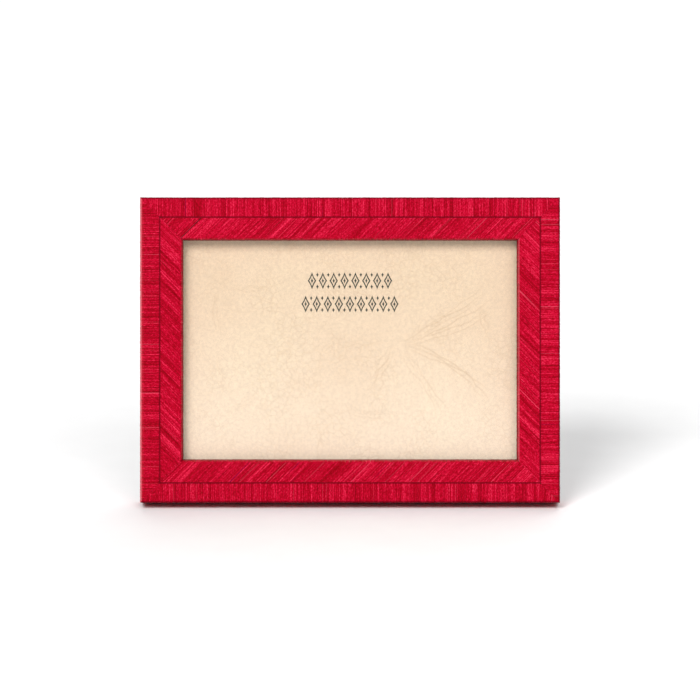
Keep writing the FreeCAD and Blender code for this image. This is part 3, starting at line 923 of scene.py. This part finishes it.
def open_lozenge(middle_x, middle_z, half_across, half_up, stroke, back, front):
    """A diamond-shaped ring."""
    outer = lozenge(middle_x, middle_z, half_across, half_up, 0.1)
    inner = lozenge(middle_x, middle_z, half_across - stroke * 0.8, half_up - stroke * 1.6, 0.1)
    count = len(outer)
    points = [Vector((x, -level, z)) for level in (front, back) for x, z in outer + inner]
    faces = []
    for here in range(count):
        there = (here + 1) % count
        ring = (here, there, count + there, count + here)
        faces.append(ring)
        faces.append(tuple(2 * count + place for place in ring[::-1]))
        faces.append((here, there, 2 * count + there, 2 * count + here))
        faces.append((count + here, count + there, 3 * count + there, 3 * count + here))
    return points, faces


def make_ornament():
    """A stamped ornament high on the card: two rows of open lozenges with seeds between."""
    back, front = CARD_FRONT - 0.12 * MM, CARD_FRONT + 0.04 * MM
    middle = HEIGHT / 2 + 25.2 * MM
    parts = []
    # Each row's count, pitch and height over the middle.
    rows = ((8, 4.75 * MM, 5.1 * MM), (9, 4.85 * MM, -5.1 * MM))
    for count, pitch, rise in rows:
        level = middle + rise
        for number in range(count):
            across = (number - (count - 1) / 2) * pitch
            parts.append(open_lozenge(across, level, 1.85 * MM, 3.7 * MM, 0.78 * MM, back, front))
            parts.append(thin_slip(lozenge(across, level, 0.55 * MM, 1.3 * MM), back, front))
            if number < count - 1:
                between = across + pitch / 2
                for lift in (-2.6 * MM, 2.6 * MM):
                    parts.append(thin_slip(lozenge(between, level + lift, 0.6 * MM, 1.0 * MM), back, front))
    points, faces = gather(parts)
    make_piece("stamped_ornament", points, faces, stamping_ink, upright, "frame")


make_card()
make_ornament()


# ---------------------------------------------------------------- brass fittings

def turned(profile, around, axes, steps=36):
    """Points and faces of a solid turned about an axis along Y: (radius, height) from back to front."""
    points = []
    faces = []
    rings = []
    for radius, height in profile:
        if radius == 0:
            rings.append([len(points)])
            points.append(axes @ (around + Vector((0, height, 0))))
            continue
        ring = []
        for step in range(steps):
            angle = 2 * math.pi * step / steps
            ring.append(len(points))
            offset = Vector((radius * math.cos(angle), height, radius * math.sin(angle)))
            points.append(axes @ (around + offset))
        rings.append(ring)
    for ring, following in zip(rings, rings[1:]):
        for step in range(steps):
            after = (step + 1) % steps
            if len(ring) == 1:
                faces.append((ring[0], following[step], following[after]))
            elif len(following) == 1:
                faces.append((ring[step], ring[after], following[0]))
            else:
                faces.append((ring[step], ring[after], following[after], following[step]))
    return points, faces


def dome(radius, height, seat, steps=7, rim=0.25):
    """Profile of a domed head from its seat to its crown."""
    profile = [(0.0, seat), (radius * 0.96, seat)]
    profile += [(radius, seat + height * rim * 0.4), (radius, seat + height * rim)]
    for step in range(1, steps + 1):
        turn = math.pi / 2 * step / steps
        profile.append((radius * math.cos(turn), seat + height * (rim + (1 - rim) * math.sin(turn))))
    profile[-1] = (0.0, seat + height)
    return profile


def button_pivots():
    for name, joint in joints.items():
        if name != "strut_fold":
            yield name, upright.inverted() @ Vector(joint["pos_m"])


def make_turn_button(joint_name, pivot):
    """A pressed brass turn button: rounded edges, a dished boss and a tip turned up for the finger."""
    node = "turn_" + joint_name.replace("_turn", "")
    low, high = measure(node)
    thickness = high.y - low.y
    towards = -1 if pivot.z > HEIGHT / 2 else 1
    boss = (high.x - low.x) / 2
    reach = (high.z - pivot.z) if towards > 0 else (pivot.z - low.z)
    tip = boss * 0.72
    hole = 1.3 * MM
    steps = 72

    def outline_radius(angle):
        """Distance from the pivot to the edge: the boss's circle, or the tongue's tapered side."""
        best = boss
        for share in np.linspace(0.0, 1.0, 24):
            centre = share * (reach - tip)
            size = boss + (tip - boss) * share
            facing = math.cos(angle) * centre
            inside = size * size - (centre * math.sin(angle)) ** 2
            if inside > 0:
                best = max(best, facing + math.sqrt(inside))
        return best

    # How far out from the hole to the edge, and how far each is rounded off, in half thicknesses.
    shares = (0.0, 0.12, 0.35, 0.6, 0.82, 0.94, 0.985, 1.0)
    drops = (0.12, 0.0, 0.0, 0.0, 0.0, 0.04, 0.14, 0.35)
    points = []
    for face in ("back", "front"):
        for step in range(steps):
            angle = 2 * math.pi * step / steps
            edge = outline_radius(angle)
            for share, drop in zip(shares, drops):
                radius = hole + (edge - hole) * share
                along = radius * math.cos(angle)
                lift = 0.55 * MM * eased((along - 0.55 * reach) / (0.45 * reach))
                dish = 0.18 * MM * math.exp(-((radius - 2.6 * MM) / (0.5 * MM)) ** 2)
                inner = low.y + drop * thickness * 0.5 + lift
                outer = high.y - drop * thickness * 0.5 + lift + dish * (1 - share)
                across = radius * math.sin(angle)
                y = outer if face == "back" else inner
                points.append(Vector((pivot.x + across, y, pivot.z + towards * along)))
    rows = len(shares)
    faces = []
    half = steps * rows
    for step in range(steps):
        after = (step + 1) % steps
        for row in range(rows - 1):
            quad = (step * rows + row, after * rows + row, after * rows + row + 1, step * rows + row + 1)
            faces.append(quad)
            faces.append(tuple(half + place for place in quad[::-1]))
        for row in (0, rows - 1):
            here, there = step * rows + row, after * rows + row
            faces.append((here, there, half + there, half + here))
    body = joint_name.replace("_turn", "")
    make_piece(f"{node}_brass", points, faces, brass, upright, body, (node,), 30.0)


def make_screws():
    """Round-headed brass screws with a sawn slot, each stopped at its own angle."""
    low, high = measure("turn_button_screws")
    seat = measure("turn_button_top_left")[1].y + 0.1 * MM
    height = high.y - seat
    radius = 2.5 * MM
    saw_reach, saw_half = 3 * MM, 0.28 * MM
    sweep = ((-saw_reach, -saw_half), (saw_reach, -saw_half), (saw_reach, saw_half), (-saw_reach, saw_half))
    chance = random.Random(5)
    for name, pivot in button_pivots():
        around = Vector((pivot.x, 0.0, pivot.z))
        shank = [(0.0, -8 * MM), (1.2 * MM, -7 * MM), (1.2 * MM, seat - 0.05 * MM), (0.0, seat - 0.05 * MM)]
        points, faces = gather([
            turned(shank, around, Matrix.Identity(4), 20),
            turned(dome(radius, height, seat), around, Matrix.Identity(4)),
        ])
        screw = make_piece(
            name.replace("_turn", "_screw"), points, faces, brass, upright, "frame",
            ("turn_button_screws",), 30.0,
        )
        turn = Matrix.Rotation(chance.uniform(0, math.pi), 4, "Y")
        levels = (high.y - 0.5 * MM, high.y + 1 * MM)
        cut_slot(screw, [upright @ (turn @ Vector((x, y, z)) + around) for y in levels for x, z in sweep])


def cut_slot(piece, corners):
    """Saw a straight slot across a head."""
    mesh = bpy.data.meshes.new("saw")
    faces = [(0, 1, 2, 3), (7, 6, 5, 4), (0, 4, 5, 1), (1, 5, 6, 2), (2, 6, 7, 3), (3, 7, 4, 0)]
    mesh.from_pydata([tuple(corner) for corner in corners], [], faces)
    saw = bpy.data.objects.new("saw", mesh)
    bpy.context.scene.collection.objects.link(saw)
    face_outwards(mesh)
    cut = piece.modifiers.new("slot", "BOOLEAN")
    cut.operation = "DIFFERENCE"
    cut.solver = "EXACT"
    cut.object = saw
    bpy.context.view_layer.update()
    evaluated = piece.evaluated_get(bpy.context.evaluated_depsgraph_get())
    made = bpy.data.meshes.new_from_object(evaluated)
    piece.modifiers.clear()
    piece.data = made
    bpy.data.objects.remove(saw)


def make_rivets(node, axes, body, tail_out):
    """Domed rivets, with flat clinched tails on the far side where they show."""
    low, high = measure(node, axes)
    seat = high.y - RIVET_HEAD
    middle_z = (low.z + high.z) / 2
    radius = (high.z - low.z) / 2
    spacing = (high.x - low.x) / 2 - radius
    parts = []
    for place in (-spacing, 0.0, spacing):
        around = Vector((place, 0.0, middle_z))
        parts.append(turned(dome(radius, RIVET_HEAD, seat - 0.02 * MM), around, Matrix.Identity(4), 30))
        shank = [(0.0, low.y + 0.2 * MM), (1.05 * MM, low.y + 0.2 * MM), (1.05 * MM, seat), (0.0, seat)]
        parts.append(turned(shank, around, Matrix.Identity(4), 16))
        if tail_out:
            tail = dome(radius * 0.85, 0.3 * MM, 0.0, 3, 0.5)
            tail = [(size, low.y + 0.3 * MM - height) for size, height in tail]
            parts.append(turned(tail, around, Matrix.Identity(4), 30))
    points, faces = gather(parts)
    make_piece(f"{node}_brass", points, faces, brass, axes, body, (node,), 30.0)


for joint_name, pivot_place in button_pivots():
    make_turn_button(joint_name, pivot_place)
make_screws()
make_rivets("board_rivets", upright, "frame", False)
make_rivets("strut_rivets", folded, "strut", True)


# ---------------------------------------------------------------- linings, strut cover and ribbon

def make_board_lining():
    """Suede cloth glued over the backing, drawn over its edges, so it lies soft at the rim."""
    low, high = measure("board_lining")
    step = 1.6 * MM
    columns = int((high.x - low.x) / step)
    rows = int((high.z - low.z) / step)
    shrink = 0.15 * MM
    points = []
    for layer in ("upper", "lower"):
        for column in range(columns):
            for row in range(rows):
                share_x, share_z = column / (columns - 1), row / (rows - 1)
                x = low.x + shrink + (high.x - low.x - 2 * shrink) * share_x
                z = low.z + shrink + (high.z - low.z - 2 * shrink) * share_z
                rim = min(x - low.x, high.x - x, z - low.z, high.z - z) / (1.4 * MM)
                soft = 0.05 * MM * noise.noise(Vector((x * 90, z * 90, 1.7)))
                y = high.y - 0.22 * MM * (1 - eased(rim)) + min(soft, 0.0)
                points.append(Vector((x, y if layer == "upper" else low.y, z)))
    make_piece(
        "backing_suede", points, closed_grid(0, columns, rows), suede, upright, "frame",
        ("board_lining",), 40.0,
    )


strut_low, strut_high = measure("strut_board", folded)
outer_low, outer_high = measure("strut_back_lining", folded)
inner_low = measure("strut_front_lining", folded)[0]
STRUT_TOP = strut_high.z
STRUT_CORNER = 4.0 * MM
STRUT_TOP_HALF = 16.0 * MM
CLOTH = 0.3 * MM


def foot_level(offset):
    """Z, in folded axes, where the floor cuts the strut at an offset from the hinge plane."""
    share = (offset - inner_low.y) / (outer_high.y - inner_low.y)
    return inner_low.z + (outer_low.z - inner_low.z) * share


def strut_half_width(level):
    """Half the strut's width at a level: tapered, with rounded top corners."""
    share = (STRUT_TOP - level) / (STRUT_TOP - strut_low.z)
    half = STRUT_TOP_HALF + (strut_high.x - STRUT_TOP_HALF) * share
    into = STRUT_TOP - level
    if into < STRUT_CORNER:
        half -= STRUT_CORNER - math.sqrt(max(STRUT_CORNER ** 2 - (STRUT_CORNER - into) ** 2, 0.0))
    return half


def cover_edge(half, grow):
    """Half of one skin's section, as (x, y): from the turned-in cloth, round the edge, onto the back."""
    turn_in, edge_round = 5.0 * MM, 0.9 * MM
    outer, inner = outer_high.y + grow, inner_low.y - grow
    edge = [(max(half - turn_in, 0.0), inner), (half - edge_round, inner)]
    for step in range(1, 6):
        angle = math.pi / 2 * step / 5
        out, back = edge_round * math.sin(angle), edge_round * (1 - math.cos(angle))
        edge.append((half - edge_round + out, inner + back))
    for step in range(0, 6):
        angle = math.pi / 2 * step / 5
        out, forward = edge_round * math.cos(angle), edge_round * (1 - math.sin(angle))
        edge.append((half - edge_round + out, outer - forward))
    edge.append((half * 0.5, outer))
    return edge


def make_strut_cover():
    """Suede drawn round the strut's back and edges and turned in on its inner face."""
    levels = 70
    points = []
    for number in range(levels):
        share = number / (levels - 1)
        skins = []
        for grow, over_top in ((0.06 * MM, 0.05 * MM), (-CLOTH, -0.05 * MM)):
            top_level = STRUT_TOP + over_top
            base = top_level - (top_level - foot_level(0.0)) * share
            edge = cover_edge(strut_half_width(min(base, STRUT_TOP)) + grow, grow)
            skins.append([(-x, y) for x, y in edge] + edge[::-1])
        section = skins[0] + skins[1][::-1]
        for x, y in section:
            foot = foot_level(y) + 0.08 * MM
            points.append(Vector((x, y, STRUT_TOP - (STRUT_TOP - foot) * share)))
    make_piece(
        "strut_suede_cover", points, loop_faces(levels, len(section)), suede, folded, "strut",
        ("strut_back_lining",), 60.0,
    )


def make_strut_panel():
    """The panel of suede that hides the turned-in edges on the strut's inner face."""
    inset = 3.0 * MM
    front, back = inner_low.y - 0.16 * MM, inner_low.y + 0.1 * MM
    columns, rows = 21, 60
    points = []
    for layer in ("upper", "lower"):
        for column in range(columns):
            for row in range(rows):
                share_x, share_z = 2 * column / (columns - 1) - 1, row / (rows - 1)
                top = STRUT_TOP - inset
                level = top - (top - foot_level(front) - inset) * share_z
                half = strut_half_width(level) - inset
                rim = (1 - abs(share_x)) * half / (0.8 * MM)
                rim = min(rim, share_z * (top - foot_level(front)) / (0.8 * MM))
                rim = min(rim, (1 - share_z) * (top - foot_level(front)) / (0.8 * MM))
                y = front + 0.12 * MM * (1 - eased(rim))
                points.append(Vector((share_x * half, y if layer == "upper" else back, level)))
    make_piece(
        "strut_suede_panel", points, closed_grid(0, columns, rows), suede, folded, "strut",
        ("strut_front_lining",), 40.0,
    )


def make_ribbon():
    """The grosgrain stay: a tab on the backing, a nearly taut run and a tab on the strut."""
    ribbon_low, ribbon_high = measure("ribbon_stay")
    back_plane = measure("board_lining")[1].y
    into_upright = upright.inverted() @ folded
    tab = 6.0 * MM
    lift = 0.15 * MM
    start = Vector((back_plane + lift, ribbon_low.z))
    bend_low = Vector((back_plane + lift, ribbon_low.z + tab))
    strut_y = inner_low.y - 0.16 * MM - lift
    strut_tab_level = -80.0 * MM
    bend_high = into_upright @ Vector((0, strut_y, strut_tab_level))
    end = into_upright @ Vector((0, strut_y, strut_tab_level + tab))
    bend_high = Vector((bend_high.y, bend_high.z))
    end = Vector((end.y, end.z))
    corners = [start, bend_low, bend_high, end]
    route = []
    for here, there in zip(corners, corners[1:]):
        length = (there - here).length
        steps = max(int(length / (0.22 * MM)), 2)
        for step in range(steps):
            share = step / steps
            point = here.lerp(there, share)
            if here is bend_low:
                point.y -= 0.7 * MM * math.sin(math.pi * share)
            route.append(point)
    route.append(end)
    for _ in range(6):
        route = [route[0]] + [
            (before + here * 2 + after) / 4 for before, here, after in zip(route, route[1:], route[2:])
        ] + [route[-1]]
    half = (ribbon_high.x - ribbon_low.x) / 2
    thickness = 0.22 * MM
    points = []
    travelled = 0.0
    rib = 0.9 * MM
    across_steps = 9
    for index, point in enumerate(route):
        before = route[max(index - 1, 0)]
        after = route[min(index + 1, len(route) - 1)]
        run = (after - before).normalized()
        normal = Vector((-run.y, run.x))
        wave = math.cos(2 * math.pi * travelled / rib)
        travelled += (after - point).length
        swell = thickness / 2 * (1 + 0.3 * wave)
        edge = half - 0.12 * MM * (1 - wave) / 2
        for sign in (1, -1):
            for step in range(across_steps):
                share = 2 * step / (across_steps - 1) - 1
                x = share * edge * sign
                place = point + normal * (sign * swell * (1 - 0.5 * abs(share) ** 8))
                points.append(Vector((x, place.x, place.y)))
    ribbon = make_piece(
        "ribbon_stay_grosgrain", points, loop_faces(len(route), 2 * across_steps), grosgrain, upright, None,
        ("ribbon_stay",), 60.0,
    )
    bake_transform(ribbon)


make_board_lining()
make_strut_cover()
make_strut_panel()
make_ribbon()


# ---------------------------------------------------------------- nails and the carried-over parts

def make_corner_nails():
    """V nails driven across the mitres, their bright edges just proud of the wood."""
    proud = 0.05 * MM
    low, high = measure("corner_v_nails")
    leg, gauge = 4.5 * MM, 0.4 * MM
    parts = []
    for sign_x in (-1, 1):
        for at_top in (False, True):
            for inset in (4.0 * MM, 8.7 * MM):
                steps = (
                    (inset, inset),
                    (inset + leg, inset),
                    (inset + leg, inset + gauge),
                    (inset + gauge, inset + gauge),
                    (inset + gauge, inset + leg),
                    (inset, inset + leg),
                )
                outline = [
                    (sign_x * (WIDTH / 2 - along), HEIGHT - up if at_top else up) for along, up in steps
                ]
                parts.append(thin_slip(outline, -proud, -low.y))
    points, faces = gather(parts)
    make_piece(
        "corner_nails_steel", points, faces, strip_steel, upright, "frame",
        ("corner_v_nails",), 30.0,
    )


def finish_node(node, material, bevel=0.0):
    """Give a carried-over CAD node its finish, with its sharp edges eased."""
    piece = frame["nodes"][node]
    piece.data.materials.clear()
    piece.data.materials.append(material)
    if bevel:
        eased_edges = piece.modifiers.new("eased_edges", "BEVEL")
        eased_edges.width = bevel
        eased_edges.segments = 2
        eased_edges.limit_method = "ANGLE"
        eased_edges.angle_limit = math.radians(40)
        eased_edges.harden_normals = False


make_corner_nails()
for side in SIDES:
    wood = wood_across if side in ("top", "bottom") else wood_upright
    finish_node(f"rail_{side}", wood, 0.25 * MM)
finish_node("glass_pane", window_glass)
finish_node("filler_board", grey_board)
finish_node("backing_board", brown_board, 0.2 * MM)
finish_node("strut_board", blacked_board)
for node in ("hinge_leaf_board", "hinge_leaf_strut", "hinge_pin"):
    finish_node(node, brass, 0.08 * MM)


# ---------------------------------------------------------------- floor, light and camera

def make_floor():
    mesh = bpy.data.meshes.new("studio_floor")
    reach = 6.0
    corners = [(-reach, -reach, 0), (reach, -reach, 0), (reach, reach, 0), (-reach, reach, 0)]
    mesh.from_pydata(corners, [], [(0, 1, 2, 3)])
    mesh.materials.append(studio_floor)
    floor = bpy.data.objects.new("studio_floor", mesh)
    bpy.context.scene.collection.objects.link(floor)


FACE_MIDDLE = upright @ Vector((0.0, -DEPTH, HEIGHT / 2))


def make_sun(name, towards, strength, softness):
    """A very wide soft sun, like a large diffuser. It shines from the direction given in world axes."""
    lamp = bpy.data.lights.new(name, "SUN")
    lamp.energy = strength
    lamp.angle = math.radians(softness)
    holder = bpy.data.objects.new(name, lamp)
    holder.location = FACE_MIDDLE + Vector(towards)
    holder.rotation_euler = Vector(towards).to_track_quat("Z", "Y").to_euler()
    bpy.context.scene.collection.objects.link(holder)


def make_world():
    """A studio sky: pale along the horizon and dimmer overhead."""
    world = bpy.data.worlds.new("soft_studio")
    world.use_nodes = True
    tree = world.node_tree
    sky = tree.nodes["Background"]
    direction = tree.nodes.new("ShaderNodeTexCoord")
    parts = tree.nodes.new("ShaderNodeSeparateXYZ")
    shade = tree.nodes.new("ShaderNodeValToRGB")
    low, high = shade.color_ramp.elements
    low.position, low.color = 0.05, (0.95, 0.95, 0.95, 1.0)
    high.position, high.color = 0.16, (0.22, 0.22, 0.22, 1.0)
    tree.links.new(direction.outputs["Generated"], parts.inputs["Vector"])
    tree.links.new(parts.outputs["Z"], shade.inputs["Fac"])
    tree.links.new(shade.outputs["Color"], sky.inputs["Color"])
    sky.inputs["Strength"].default_value = 1.0
    bpy.context.scene.world = world


def make_camera():
    """A long lens square to the face, so that its edges stay parallel."""
    camera = bpy.data.cameras.new("camera")
    camera.lens = 200.0
    camera.sensor_width = 36.0
    face_share = 0.6
    distance = WIDTH / face_share * camera.lens / camera.sensor_width
    holder = bpy.data.objects.new("camera", camera)
    holder.location = FACE_MIDDLE - BACKWARD * distance
    holder.rotation_euler = BACKWARD.to_track_quat("-Z", "Y").to_euler()
    camera.clip_end = 20.0
    bpy.context.scene.collection.objects.link(holder)
    bpy.context.scene.camera = holder


make_floor()
make_sun("key", lean_turn.to_3x3() @ Vector((-0.44, -1.0, 0.62)), 2.12, 26.0)
make_sun("fill", lean_turn.to_3x3() @ Vector((0.4, -1.0, 0.56)), 0.86, 34.0)
make_sun("back", (0.12, 0.56, 0.82), 1.3, 45.0)
make_world()
make_camera()
bpy.context.scene.view_settings.view_transform = "Standard"
